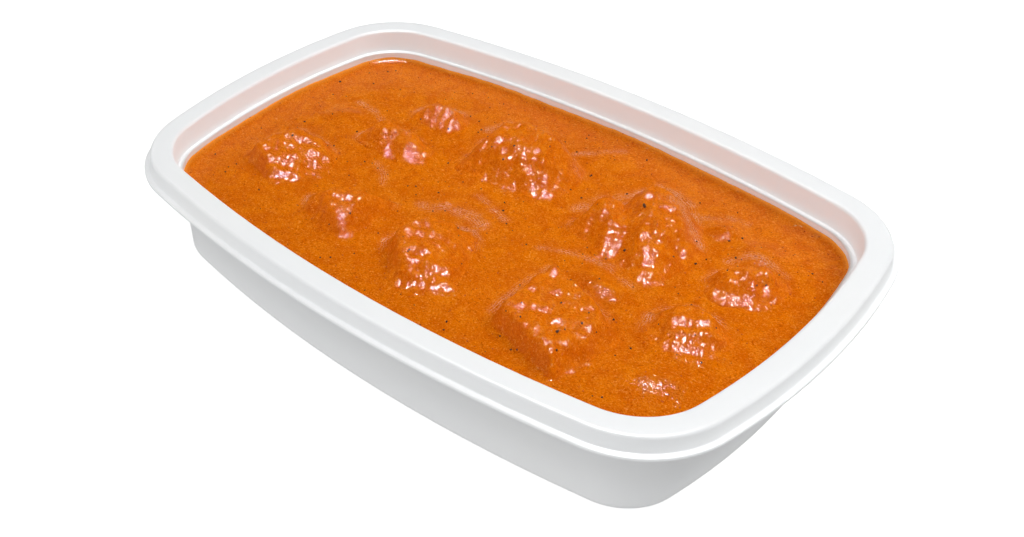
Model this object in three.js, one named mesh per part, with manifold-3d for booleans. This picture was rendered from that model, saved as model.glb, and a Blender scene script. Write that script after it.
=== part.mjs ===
// Chicken pieces in a spiced tomato and cream sauce, filling a white moulded plastic tray.
// Millimetres, +Z up, the tray's long side along X. The origin is the middle of its base.
import * as THREE from 'three';
import Module from 'manifold-3d';

const wasm = await Module();
wasm.setup();

// ---------- Tray: driving dimensions ----------
const trayHeight = 41.2;       // base to the flat top of the rim
const wallThickness = 0.8;
const openHalfLength = 104.2;  // rim's inner edge, from the centre to a bowed end
const openHalfWidth = 66.8;    // rim's inner edge, from the centre to a bowed side
const endBow = 225;            // plan radius of the two ends
const sideBow = 468;           // plan radius of the two long sides
const cornerRadius = 22.7;     // plan radius of the corners
const rimWidth = 8.0;          // flat top with both of its rounded edges
const rimRounding = 1.2;
const skirtDrop = 5.2;         // rim top to the lip round the outside
const skirtDraft = 0.5;        // how far the skirt leans out on its way down
const lipReach = 1.9;          // lip past the foot of the skirt
const lipThickness = 1.1;
const ledgeDrop = 8.2;         // rim top to the narrow ledge inside
const ledgeWidth = 1.8;
const upperDraft = 0.5;        // how far the wall above the ledge leans in
const lowerDraft = 1.5;        // the same from the ledge down to the base
const baseRounding = 4.5;      // outside radius between wall and base
const roundSteps = 3;          // facets across a rounding of the rim or the floor
const footSteps = 4;           // the same of the base's rounding

// ---------- Food: driving dimensions ----------
const sauceLevel = 29.6;       // height of the sauce above the surface the tray stands on
const fitGap = 0.3;            // clearance between pieces that touch
const saucePitch = 4.5;        // spacing of the relief on the sauce
const edgeRounding = 1.1;      // how softly the top of a piece of meat meets its sides
const cornerRounding = 2.0;    // how softly two of its sides meet
const waistDip = 1.0;          // the widest part of a piece lies this far under the sauce
const sunkDepth = 9;           // how far a piece reaches below its widest part
const lumpHeight = 0.45;       // unevenness of the meat
const rippleHeight = 0.25;     // the same of the open sauce
// Waves of both, in radians for each millimetre: sway bends the crests, share is the height.
const coarseWave = { x: 0.62, y: 0.55, shift: 0.7, sway: 1.3, swayRate: 0.31 };
const fineWave = { x: 1.15, y: 0.95, shift: 2, skewX: 0.5, skewY: -0.4, share: 0.6 };
const rippleWave = { x: 0.11, y: 0.13, shiftX: 0.6, shiftY: 0.2 };

// ---------- Plan outline of the tray: eight tangent arcs ----------
const endCentre = new THREE.Vector2(openHalfLength - endBow, 0);
const sideCentre = new THREE.Vector2(0, openHalfWidth - sideBow);
const cornerCentre = tangentCentre(endCentre, endBow - cornerRadius, sideCentre, sideBow - cornerRadius);
const endTurn = cornerCentre.clone().sub(endCentre).angle();
const sideTurn = cornerCentre.clone().sub(sideCentre).angle();
const arcSteps = { end: 2, corner: 9, side: 4 };
const turns = outlineTurns();

// The upper right point where two circles cross.
function tangentCentre(c1, r1, c2, r2) {
  const span = c2.clone().sub(c1);
  const reach = span.length();
  const along = (r1 * r1 - r2 * r2 + reach * reach) / (2 * reach);
  const aside = Math.sqrt(r1 * r1 - along * along);
  const unit = span.divideScalar(reach);
  const foot = c1.clone().addScaledVector(unit, along);
  return foot.addScaledVector(new THREE.Vector2(-unit.y, unit.x), aside);
}

// Directions of the outline's normal, all the way round, closest together in the corners.
function outlineTurns() {
  const quarter = [];
  const spread = (from, to, steps) => {
    for (let i = 0; i < steps; i++) quarter.push(from + ((to - from) * i) / steps);
  };
  spread(0, endTurn, arcSteps.end);
  spread(endTurn, sideTurn, arcSteps.corner);
  spread(sideTurn, Math.PI / 2, arcSteps.side);
  const all = [];
  for (let k = 0; k < 4; k++) {
    const run = k % 2 === 0 ? quarter : [...quarter.slice(1), Math.PI / 2].reverse();
    for (const q of run) all.push(k % 2 === 0 ? k * (Math.PI / 2) + q : (k + 1) * (Math.PI / 2) - q);
  }
  return all;
}

// Point of the outline with the given normal, moved inwards by inset.
function outlinePoint(turn, inset) {
  const nx = Math.cos(turn);
  const ny = Math.sin(turn);
  const q = Math.atan2(Math.abs(ny), Math.abs(nx));
  let centre = cornerCentre;
  let radius = cornerRadius;
  if (q <= endTurn) {
    centre = endCentre;
    radius = endBow;
  } else if (q >= sideTurn) {
    centre = sideCentre;
    radius = sideBow;
  }
  const x = centre.x + (radius - inset) * Math.cos(q);
  const y = centre.y + (radius - inset) * Math.sin(q);
  return [Math.sign(nx) * x, Math.sign(ny) * y];
}

// ---------- Solids from rings of points ----------
// rings run from the first pole to the last, every ring counter-clockwise seen from above.
function solidFromRings(firstPole, rings, lastPole) {
  const points = [firstPole, ...rings.flat(), lastPole];
  const count = rings[0].length;
  const at = (ring, i) => 1 + ring * count + (i % count);
  const faces = [];
  for (let i = 0; i < count; i++) {
    faces.push(0, at(0, i), at(0, i + 1));
    for (let r = 0; r + 1 < rings.length; r++) {
      faces.push(at(r, i), at(r + 1, i), at(r + 1, i + 1));
      faces.push(at(r, i), at(r + 1, i + 1), at(r, i + 1));
    }
    faces.push(points.length - 1, at(rings.length - 1, i + 1), at(rings.length - 1, i));
  }
  return solid(points, faces);
}

function solid(points, faces) {
  const mesh = new wasm.Mesh({
    numProp: 3,
    vertProperties: Float32Array.from(points.flat()),
    triVerts: Uint32Array.from(faces),
  });
  return new wasm.Manifold(mesh);
}

// Loft of the tray's outline through a profile of [inset, height] pairs.
function outlineLoft(profile) {
  const rings = profile.map(([inset, z]) => turns.map((t) => [...outlinePoint(t, inset), z]));
  const first = [0, 0, profile[0][1]];
  const last = [0, 0, profile[profile.length - 1][1]];
  return solidFromRings(first, rings, last);
}

// Quarter arc in the profile, from angle a to b in degrees, about [inset, z].
function profileArc(inset, z, radius, a, b, steps) {
  const arc = [];
  for (let i = 0; i <= steps; i++) {
    const t = THREE.MathUtils.degToRad(a + ((b - a) * i) / steps);
    arc.push([inset + radius * Math.cos(t), z + radius * Math.sin(t)]);
  }
  return arc;
}

// ---------- Tray ----------
const ledgeTop = trayHeight - ledgeDrop;
const ledgeInset = upperDraft + ledgeWidth;
const wallSlope = lowerDraft / (ledgeTop - wallThickness);
const floorRounding = baseRounding - wallThickness;
const insideWall = (z) => ledgeInset + (ledgeTop - z) * wallSlope;

// The hollow's own profile, from the middle of the floor up to a height on the lower wall.
function hollowProfile(top, gap) {
  const floor = wallThickness + gap;
  const radius = floorRounding - gap;
  const wallFoot = insideWall(floor + radius) + gap;
  const round = profileArc(wallFoot + radius, floor + radius, radius, 270, 180, roundSteps);
  return [...round, [insideWall(top) + gap, top]];
}

function trayProfile() {
  const t = wallThickness;
  const rimTop = trayHeight;
  const skirtFoot = -rimWidth - skirtDraft;
  const lipTop = rimTop - skirtDrop;
  const lipBottom = lipTop - lipThickness;
  const lipEdge = skirtFoot - lipReach;
  const inner = [
    ...hollowProfile(ledgeTop, 0),
    [upperDraft, ledgeTop],
    ...profileArc(-rimRounding, rimTop - rimRounding, rimRounding, 0, 90, roundSteps),
  ];
  const outer = [
    ...profileArc(rimRounding - rimWidth, rimTop - rimRounding, rimRounding, 90, 180, roundSteps),
    [skirtFoot, lipTop],
    [lipEdge + lipThickness / 4, lipTop],
    [lipEdge, lipTop - lipThickness / 3],
    [lipEdge, lipBottom + lipThickness / 4],
    [lipEdge + lipThickness / 4, lipBottom],
    [skirtFoot + t, lipBottom],
    [t - rimWidth, rimTop - t - rimRounding],
    [t - rimWidth + rimRounding, rimTop - t],
    [-t - rimRounding, rimTop - t],
    [-t, rimTop - t - rimRounding],
    [upperDraft - t, ledgeTop - t],
    [ledgeInset - t, ledgeTop - t],
  ];
  const footInset = insideWall(baseRounding) - t;
  const foot = profileArc(footInset + baseRounding, baseRounding, baseRounding, 180, 270, footSteps);
  return [...inner, ...outer, ...foot];
}

// ---------- Pieces of chicken ----------
// A block is a cut piece lying in the sauce: the corners of its outline where it meets the
// sauce, counter-clockwise, the slope of the side that runs on from each corner, the height
// of its top above the sauce, and that top's tilt: the direction it rises in and how steeply.
const pieces = {
  chicken_front: [
    { corners: [[32.5, -42], [61.5, -50.5], [66.8, -26], [58.5, -18.5], [32.5, -12]],
      slopes: [1.9, 1.4, 1.6, 3, 3], high: 6.8, tilt: [120, 0.04] },
  ],
  chicken_right_of_centre: [
    { corners: [[41, 5], [57.5, -0.5], [62.5, 24], [52, 38.5], [39, 41.5], [29, 34], [30, 18]],
      slopes: [0.95, 0.8, 1.2, 2.2, 2.6, 2.4, 0.9], high: 10, tilt: [100, 0.02] },
    { corners: [[22, 9], [43, 3.5], [48, 16], [34, 30], [22.5, 26]],
      slopes: [0.8, 1, 1, 2.4, 2.6], high: 8.6, tilt: [120, 0.03] },
  ],
  chicken_left_of_centre: [
    { corners: [[-16, -33.5], [1.5, -50], [19, -39], [3.5, -10.5], [-11.5, -18.5]],
      slopes: [1.8, 0.75, 0.75, 1.7, 2], high: 7, tilt: [125, 0.06] },
  ],
  chicken_back: [
    { corners: [[-26.5, 12.5], [5, 13.5], [11.5, 20], [10, 37], [1, 41.5], [-20, 41.5], [-29, 33]],
      slopes: [0.95, 0.9, 0.95, 2, 2.6, 2.6, 1.6], high: 10, tilt: [95, 0.03] },
  ],
  chicken_back_left: [
    { corners: [[-65, 3], [-46, 0.3], [-33.5, 6.5], [-38.5, 16.5], [-62, 16.5]],
      slopes: [1.1, 0.9, 0.9, 1.8, 1.8], high: 6.2, tilt: [100, 0.04] },
  ],
  chicken_back_corner: [
    { corners: [[-59.5, 25], [-39, 27.5], [-39.5, 38], [-48, 40.5], [-59, 36]],
      slopes: [1, 1, 1, 1.6, 1.6], high: 5.8, tilt: [100, 0.03] },
  ],
  chicken_left: [
    { corners: [[-86.5, -29.5], [-64.5, -36.5], [-55.5, -14.5], [-63, -6], [-80, -6.5]],
      slopes: [1.6, 0.8, 1.2, 1.4, 1.8], high: 4.9, tilt: [160, 0.24] },
  ],
  chicken_front_left: [
    { corners: [[-50.5, -37], [-35, -45], [-25, -41.5], [-25, -15.5], [-50.5, -30.5]],
      slopes: [1.2, 1.2, 1.3, 2, 1.4], high: 6.6, tilt: [130, 0.04] },
  ],
  chicken_right: [
    { corners: [[68, 13], [73.5, 7.3], [85.5, 12.3], [91, 25], [86, 29.5],
      [76, 28.5], [68.5, 20.5]],
      slopes: [1.2, 0.9, 0.9, 1.6, 2, 2, 1.6], high: 6.3, tilt: [110, 0.02] },
  ],
  chicken_front_right: [
    { corners: [[70, -19], [80, -23], [90, -16], [92, -6], [85, 0.5],
      [74, 2.2], [66, -5], [66, -15]],
      slopes: [0.6, 0.6, 0.9, 1.4, 1.8, 1.8, 1.5, 1.1], high: 5.6, tilt: [120, 0.02] },
  ],
};
const spokes = 20;
const halvings = 30;
// Rings of a piece: shares of the waist for its top, and share and drop for its sunk part.
const topRings = [0.22, 0.44, 0.64, 0.8, 0.91, 1];
const sunkRings = [[0.96, 0.4], [0.82, 0.72], [0.5, 0.94]];

// Softly rounded lowest of several values.
function softLowest(values, rounding) {
  const sum = values.reduce((total, v) => total + Math.exp(-v / rounding), 0);
  return -rounding * Math.log(sum);
}

function softHighest(values, rounding) {
  return -softLowest(values.map((v) => -v), rounding);
}

function middleOf(block) {
  const sum = new THREE.Vector2();
  for (const [x, y] of block.corners) sum.add(new THREE.Vector2(x, y));
  return sum.divideScalar(block.corners.length);
}

// Height of one block above the sauce at a place in plan; grow makes it larger all round.
function blockHeight(block, x, y, grow) {
  const sides = block.corners.map(([ax, ay], i) => {
    const [bx, by] = block.corners[(i + 1) % block.corners.length];
    const inwards = ((bx - ax) * (y - ay) - (by - ay) * (x - ax)) / Math.hypot(bx - ax, by - ay);
    return block.slopes[i] * (inwards + grow) + grow;
  });
  const middle = middleOf(block);
  const [direction, rise] = block.tilt;
  const uphill = THREE.MathUtils.degToRad(direction);
  const along = (x - middle.x) * Math.cos(uphill) + (y - middle.y) * Math.sin(uphill);
  const top = block.high + rise * along + grow;
  return softLowest([top, softLowest(sides, cornerRounding)], edgeRounding);
}

// Gentle unevenness of the meat, with crests about 10 mm apart and finer ones about 6 mm.
function lumps(x, y) {
  const sway = coarseWave.sway * Math.sin(coarseWave.swayRate * y);
  const coarse = Math.sin(coarseWave.x * x + sway) * Math.sin(coarseWave.y * y + coarseWave.shift);
  const fineX = Math.sin(fineWave.x * x + fineWave.skewY * y + fineWave.shift);
  const fineY = Math.sin(fineWave.y * y + fineWave.skewX * x);
  return lumpHeight * (coarse + fineWave.share * fineX * fineY);
}

function pieceHeight(blocks, x, y, grow) {
  const heights = blocks.map((block) => blockHeight(block, x, y, grow));
  return softHighest(heights, edgeRounding) + lumps(x, y);
}

// Distance from a piece's middle, in one direction, at which it dips to its waist,
// found by halving between the middle and a place well outside it.
function waistReach(blocks, middle, angle, grow) {
  let near = 0;
  let far = openHalfWidth;
  for (let i = 0; i < halvings; i++) {
    const r = (near + far) / 2;
    const x = middle.x + r * Math.cos(angle);
    const y = middle.y + r * Math.sin(angle);
    if (pieceHeight(blocks, x, y, grow) > -waistDip) near = r;
    else far = r;
  }
  return near;
}

function chickenPiece(blocks, grow = 0) {
  const middle = new THREE.Vector2();
  for (const block of blocks) middle.add(middleOf(block));
  middle.divideScalar(blocks.length);
  const angles = Array.from({ length: spokes }, (_, i) => (i * 2 * Math.PI) / spokes);
  const reach = angles.map((a) => waistReach(blocks, middle, a, grow));
  const ringAt = (share, heightAt) =>
    angles.map((a, i) => {
      const x = middle.x + share * reach[i] * Math.cos(a);
      const y = middle.y + share * reach[i] * Math.sin(a);
      return [x, y, sauceLevel + heightAt(x, y)];
    });
  const depth = sunkDepth + grow;
  const top = topRings.map((share) => ringAt(share, (x, y) => pieceHeight(blocks, x, y, grow)));
  const sunk = sunkRings.map(([share, drop]) => ringAt(share, () => -waistDip - drop * depth));
  const peak = [middle.x, middle.y, sauceLevel + pieceHeight(blocks, middle.x, middle.y, grow)];
  const keel = [middle.x, middle.y, sauceLevel - waistDip - depth];
  const rings = [...sunk.reverse(), ...top.reverse()];
  return solidFromRings(keel, rings.map((ring) => ring.slice().reverse()), peak);
}

// ---------- Sauce ----------
// Swells where the sauce lies over something sunk in it: place, turn, half sizes, height.
const swells = [
  { x: 47, y: -7.5, turn: 0, long: 9, wide: 4, high: 2 },
  { x: 73, y: 36, turn: 10, long: 8, wide: 5, high: 2.2 },
  { x: 60, y: 39, turn: 0, long: 5.5, wide: 4.5, high: 2.4 },
  { x: 15, y: -11, turn: 20, long: 5, wide: 4, high: 1.2 },
  { x: 2, y: -6, turn: 20, long: 5, wide: 4, high: 1 },
  { x: 81, y: -30, turn: 25, long: 9, wide: 5, high: 2.2 },
  { x: -77, y: 12, turn: 20, long: 7, wide: 5, high: 1.6 },
];

function sauceHeight(x, y) {
  const alongX = Math.sin(rippleWave.x * x + rippleWave.shiftX);
  const acrossY = Math.sin(rippleWave.y * y + rippleWave.shiftY);
  let height = sauceLevel + rippleHeight * alongX * acrossY;
  for (const swell of swells) {
    const turn = THREE.MathUtils.degToRad(swell.turn);
    const dx = x - swell.x;
    const dy = y - swell.y;
    const u = (dx * Math.cos(turn) + dy * Math.sin(turn)) / swell.long;
    const v = (dy * Math.cos(turn) - dx * Math.sin(turn)) / swell.wide;
    height += swell.high * Math.exp(-(u * u + v * v));
  }
  return height;
}

// Block whose top is the sauce's relief, wider than the tray's hollow.
function reliefBlock() {
  const columns = Math.ceil((2 * openHalfLength) / saucePitch);
  const rows = Math.ceil((2 * openHalfWidth) / saucePitch);
  const points = [];
  const faces = [];
  const top = (i, j) => 2 * (j * (columns + 1) + i);
  const base = (i, j) => top(i, j) + 1;
  for (let j = 0; j <= rows; j++) {
    for (let i = 0; i <= columns; i++) {
      const x = (i - columns / 2) * saucePitch;
      const y = (j - rows / 2) * saucePitch;
      points.push([x, y, sauceHeight(x, y)], [x, y, 0]);
    }
  }
  const quad = (a, b, c, d) => faces.push(a, b, c, a, c, d);
  for (let j = 0; j < rows; j++) {
    for (let i = 0; i < columns; i++) {
      quad(top(i, j), top(i + 1, j), top(i + 1, j + 1), top(i, j + 1));
      quad(base(i, j), base(i, j + 1), base(i + 1, j + 1), base(i + 1, j));
    }
  }
  for (let i = 0; i < columns; i++) {
    quad(base(i, 0), base(i + 1, 0), top(i + 1, 0), top(i, 0));
    quad(base(i + 1, rows), base(i, rows), top(i, rows), top(i + 1, rows));
  }
  for (let j = 0; j < rows; j++) {
    quad(base(0, j + 1), base(0, j), top(0, j), top(0, j + 1));
    quad(base(columns, j), base(columns, j + 1), top(columns, j + 1), top(columns, j));
  }
  return solid(points, faces);
}

function sauceBody() {
  const hollow = outlineLoft(hollowProfile(ledgeTop, fitGap).reverse());
  let body = hollow.intersect(reliefBlock());
  for (const blocks of Object.values(pieces)) {
    body = body.subtract(chickenPiece(blocks, fitGap));
  }
  return body;
}

// ---------- Scene graph ----------
const plastic = { color: 0xf1f1f2, roughness: 0.35, metalness: 0 };
const sauceLook = { color: 0xd96f12, roughness: 0.3, metalness: 0 };
const chickenLook = { color: 0xdd7a1c, roughness: 0.35, metalness: 0 };

function named(name, body, look) {
  const { vertProperties, triVerts, numProp } = body.getMesh();
  const position = new Float32Array((vertProperties.length / numProp) * 3);
  for (let i = 0; i < position.length / 3; i++) {
    for (let k = 0; k < 3; k++) position[3 * i + k] = vertProperties[numProp * i + k];
  }
  const geometry = new THREE.BufferGeometry();
  geometry.setAttribute('position', new THREE.BufferAttribute(position, 3));
  geometry.setIndex(new THREE.BufferAttribute(new Uint32Array(triVerts), 1));
  geometry.computeVertexNormals();
  const mesh = new THREE.Mesh(geometry, new THREE.MeshStandardMaterial(look));
  mesh.name = name;
  return mesh;
}

const meal = new THREE.Group();
meal.add(named('tray', outlineLoft(trayProfile()), plastic));
meal.add(named('sauce', sauceBody(), sauceLook));
for (const [name, blocks] of Object.entries(pieces)) {
  meal.add(named(name, chickenPiece(blocks), chickenLook));
}

export default meal;
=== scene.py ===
# Chicken tikka masala in a white moulded tray, seen from above its front right corner.
# Lengths in the dictionaries are millimetres; the scene itself is in metres.
import math

import bmesh
import bpy
import numpy as np
from mathutils import Matrix, Vector


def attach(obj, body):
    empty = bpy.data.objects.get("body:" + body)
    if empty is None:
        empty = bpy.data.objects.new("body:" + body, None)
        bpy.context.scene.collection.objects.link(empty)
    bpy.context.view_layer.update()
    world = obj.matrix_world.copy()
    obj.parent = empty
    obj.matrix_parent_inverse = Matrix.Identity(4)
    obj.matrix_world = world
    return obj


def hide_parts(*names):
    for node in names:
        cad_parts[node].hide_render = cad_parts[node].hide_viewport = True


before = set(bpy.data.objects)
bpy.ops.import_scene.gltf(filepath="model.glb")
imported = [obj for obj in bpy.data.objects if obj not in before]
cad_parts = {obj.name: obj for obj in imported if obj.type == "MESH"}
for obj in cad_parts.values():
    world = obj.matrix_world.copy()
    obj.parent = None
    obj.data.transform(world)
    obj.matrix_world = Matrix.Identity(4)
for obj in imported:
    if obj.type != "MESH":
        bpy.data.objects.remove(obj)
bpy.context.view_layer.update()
mm = 0.001


def linearColour(hexColour):
    # sRGB hex to the linear values that the shader wants
    parts = [int(hexColour[i:i + 2], 16) / 255 for i in (1, 3, 5)]
    return [c / 12.92 if c <= 0.04045 else ((c + 0.055) / 1.055) ** 2.4 for c in parts] + [1.0]


def addNode(tree, kind, settings=None, links=None):
    # settings name a property of the node or one of its sockets, by name or by number;
    # links lead there from a socket, or from the first output of a node
    node = tree.nodes.new(kind)
    for key, value in (settings or {}).items():
        if isinstance(key, str) and hasattr(node, key):
            setattr(node, key, value)
        else:
            node.inputs[key].default_value = value
    for key, start in (links or {}).items():
        socket = start.outputs[0] if isinstance(start, bpy.types.Node) else start
        tree.links.new(socket, node.inputs[key])
    return node


def newMaterial(name):
    material = bpy.data.materials.new(name)
    material.use_nodes = True
    material.node_tree.nodes.clear()
    return material, material.node_tree


def addObject(name, data):
    added = bpy.data.objects.new(name, data)
    bpy.context.scene.collection.objects.link(added)
    return added


def finishMesh(mesh, material):
    # smooth, in one material, and in the scene
    mesh.polygons.foreach_set("use_smooth", [True] * len(mesh.polygons))
    mesh.materials.append(material)
    return addObject(mesh.name, mesh)


def newPiece(name, points, faces, material):
    mesh = bpy.data.meshes.new(name)
    mesh.from_pydata((np.asarray(points) * mm).tolist(), [], faces)
    return finishMesh(mesh, material)


# camera, light and floor
view = {
    "target": (-4.504, -85.171, 41.2),
    "distance": 367.6,
    "azimuth": 48.925,
    "elevation": 39.579,
    "roll": -4.210,
    "focalPixels": 1296.6,
    "imageSize": (1024, 537),
    "imageCentre": (289.13, 306.16),  # where the lens axis meets the picture
}


def towardsCamera():
    az, el = math.radians(view["azimuth"]), math.radians(view["elevation"])
    return math.sin(az) * math.cos(el), -math.cos(az) * math.cos(el), math.sin(el)


def addCamera():
    az, roll = math.radians(view["azimuth"]), math.radians(view["roll"])
    back = Vector(towardsCamera())
    right = Vector((math.cos(az), math.sin(az), 0))
    up = back.cross(right)
    turnedRight = right * math.cos(roll) + up * math.sin(roll)
    turnedUp = up * math.cos(roll) - right * math.sin(roll)
    place = Vector(view["target"]) + back * view["distance"]
    width, height = view["imageSize"]
    data = bpy.data.cameras.new("camera")
    data.sensor_width = 36
    data.lens = view["focalPixels"] * 36 / width
    data.shift_x = (width / 2 - view["imageCentre"][0]) / width
    data.shift_y = (view["imageCentre"][1] - height / 2) / width
    data.clip_start = 0.01
    camera = addObject("camera", data)
    camera.matrix_world = Matrix(
        [[turnedRight[i], turnedUp[i], back[i], place[i] * mm] for i in range(3)] + [[0, 0, 0, 1]]
    )
    bpy.context.scene.camera = camera


studio = {
    "skyStrength": 0.60,
    "floorColour": "#ffffff",
    "floorGlow": 0.40,     # the floor is white acrylic, lit a little from below
    "floorSize": 16000,
}
# place, size along and across, power in watts, and whether it lights the matt and the gloss
softboxes = {
    "key": ((400, 470, 720), 420, 420, 3.4, True, False),
    "front_left": ((-520, -900, 420), 900, 500, 2.0, True, False),
    "front_right": ((520, -900, 420), 900, 500, 1.0, True, False),
    "sparkle": ((105, -90, 1090), 340, 340, 66.0, False, True),
    "far_card": ((-1150, 1000, 200), 1600, 260, 0.2, False, True),
}


def addStudio():
    world = bpy.data.worlds.new("studio")
    bpy.context.scene.world = world
    world.use_nodes = True
    world.node_tree.nodes["Background"].inputs["Color"].default_value = (1, 1, 1, 1)
    world.node_tree.nodes["Background"].inputs["Strength"].default_value = studio["skyStrength"]
    world.cycles_visibility.glossy = False  # dark gaps between the softboxes, for the gloss only
    for name, (place, along, across, power, onMatt, onGloss) in softboxes.items():
        data = bpy.data.lights.new(name + "_softbox", "AREA")
        data.shape = "RECTANGLE"
        data.size, data.size_y = along * mm, across * mm
        data.energy = power
        light = addObject(name + "_softbox", data)
        light.location = Vector(place) * mm
        light.rotation_euler = (-light.location).to_track_quat("-Z", "Y").to_euler()
        light.visible_diffuse, light.visible_glossy = onMatt, onGloss
    half = studio["floorSize"] / 2
    material, tree = newMaterial("pale_acrylic_floor")
    acrylic = addNode(tree, "ShaderNodeBsdfPrincipled",
                      {"Base Color": linearColour(studio["floorColour"]), "Roughness": 0.9,
                       "Emission Color": linearColour(studio["floorColour"]),
                       "Emission Strength": studio["floorGlow"]})
    addNode(tree, "ShaderNodeOutputMaterial", {}, {"Surface": acrylic})
    corners = [(-half, -half, 0), (half, -half, 0), (half, half, 0), (-half, half, 0)]
    floor = newPiece("floor", corners, [(0, 1, 2, 3)], material)
    floor.visible_diffuse = floor.visible_glossy = False
    bpy.context.scene.view_settings.view_transform = "Standard"


addCamera()
addStudio()
print("camera, light and floor are set")

# tray
tray = {
    "height": 41.2,
    "wall": 0.8,
    "openHalfLength": 104.2,  # rim's inner edge at a bowed end
    "openHalfWidth": 66.8,    # the same at a bowed side
    "endBow": 225.0,
    "sideBow": 468.0,
    "cornerRadius": 22.7,
    "rimWidth": 8.0,
    "rimRounding": 1.2,
    "skirtDrop": 5.2,
    "skirtDraft": 0.5,
    "lipReach": 1.9,
    "lipThickness": 1.1,
    "ledgeDrop": 8.2,
    "ledgeWidth": 1.8,
    "upperDraft": 0.5,
    "lowerDraft": 1.5,
    "baseRounding": 4.5,
    "smallRounding": 0.35,    # edges of the ledge and of the lip
    "turnSteps": 288,         # points of the outline, evenly spread by its direction
}
ledgeTop = tray["height"] - tray["ledgeDrop"]
ledgeInset = tray["upperDraft"] + tray["ledgeWidth"]
wallSlope = tray["lowerDraft"] / (ledgeTop - tray["wall"])


def insideWall(z):
    return ledgeInset + (ledgeTop - z) * wallSlope


def tangentCentre():
    # centre of the corner arc that touches both the end's bow and the side's
    c1 = np.array([tray["openHalfLength"] - tray["endBow"], 0.0])
    c2 = np.array([0.0, tray["openHalfWidth"] - tray["sideBow"]])
    r1, r2 = tray["endBow"] - tray["cornerRadius"], tray["sideBow"] - tray["cornerRadius"]
    reach = np.linalg.norm(c2 - c1)
    along = (r1 ** 2 - r2 ** 2 + reach ** 2) / (2 * reach)
    unit = (c2 - c1) / reach
    centre = c1 + along * unit + math.sqrt(r1 ** 2 - along ** 2) * np.array([-unit[1], unit[0]])
    endTurn = math.atan2(*(centre - c1)[::-1])
    sideTurn = math.atan2(*(centre - c2)[::-1])
    return centre, endTurn, sideTurn


cornerCentre, endTurn, sideTurn = tangentCentre()


def outlinePoints(turns, inset):
    # points of the outline with the given normals, moved inwards by inset
    turns = np.asarray(turns, float)
    q = np.arctan2(np.abs(np.sin(turns)), np.abs(np.cos(turns)))
    onEnd, onSide = q <= endTurn, q >= sideTurn
    cx = np.where(onEnd, tray["openHalfLength"] - tray["endBow"], np.where(onSide, 0, cornerCentre[0]))
    cy = np.where(onSide, tray["openHalfWidth"] - tray["sideBow"], np.where(onEnd, 0, cornerCentre[1]))
    radius = np.where(onEnd, tray["endBow"], np.where(onSide, tray["sideBow"], tray["cornerRadius"]))
    x = cx + (radius - inset) * np.cos(q)
    y = cy + (radius - inset) * np.sin(q)
    return np.sign(np.cos(turns)) * x, np.sign(np.sin(turns)) * y


def profileArc(inset, z, radius, start, stop, steps):
    return [(inset + radius * math.cos(math.radians(start + (stop - start) * i / steps)),
             z + radius * math.sin(math.radians(start + (stop - start) * i / steps)))
            for i in range(steps + 1)]


def trayProfile():
    # (inset, height) pairs from the floor inside, over the rim, to the base outside
    t, top, small = tray["wall"], tray["height"], tray["smallRounding"]
    rim, width = tray["rimRounding"], tray["rimWidth"]
    skirtFoot = -width - tray["skirtDraft"]
    lipTop = top - tray["skirtDrop"]
    lipBottom = lipTop - tray["lipThickness"]
    lipEdge = skirtFoot - tray["lipReach"]
    floorRounding = tray["baseRounding"] - t
    wallFoot = insideWall(t + floorRounding)
    footInset, foot = insideWall(tray["baseRounding"]) - t, tray["baseRounding"]
    profile = []
    # arcs by centre, radius, angles and steps, and single points
    for part in ((wallFoot + floorRounding, t + floorRounding, floorRounding, 270, 180, 8),
                 (ledgeInset + small, ledgeTop - small, small, 180, 90, 4),
                 (tray["upperDraft"] + small, ledgeTop + small, small, 270, 180, 4),
                 (-rim, top - rim, rim, 0, 90, 8),
                 (rim - width, top - rim, rim, 90, 180, 8),
                 (skirtFoot, lipTop + small),
                 (skirtFoot - small, lipTop),
                 (lipEdge + small, lipTop - small, small, 90, 180, 4),
                 (lipEdge + small, lipBottom + small, small, 180, 270, 4),
                 (skirtFoot + t, lipBottom),
                 (rim - width, top - rim, rim - t, 180, 90, 4),
                 (-rim, top - rim, rim - t, 90, 0, 4),
                 (tray["upperDraft"] - t, ledgeTop - t),
                 (ledgeInset - t, ledgeTop - t),
                 (footInset + foot, foot, foot, 180, 270, 10)):
        profile += [part] if len(part) == 2 else profileArc(*part)
    return profile


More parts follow.
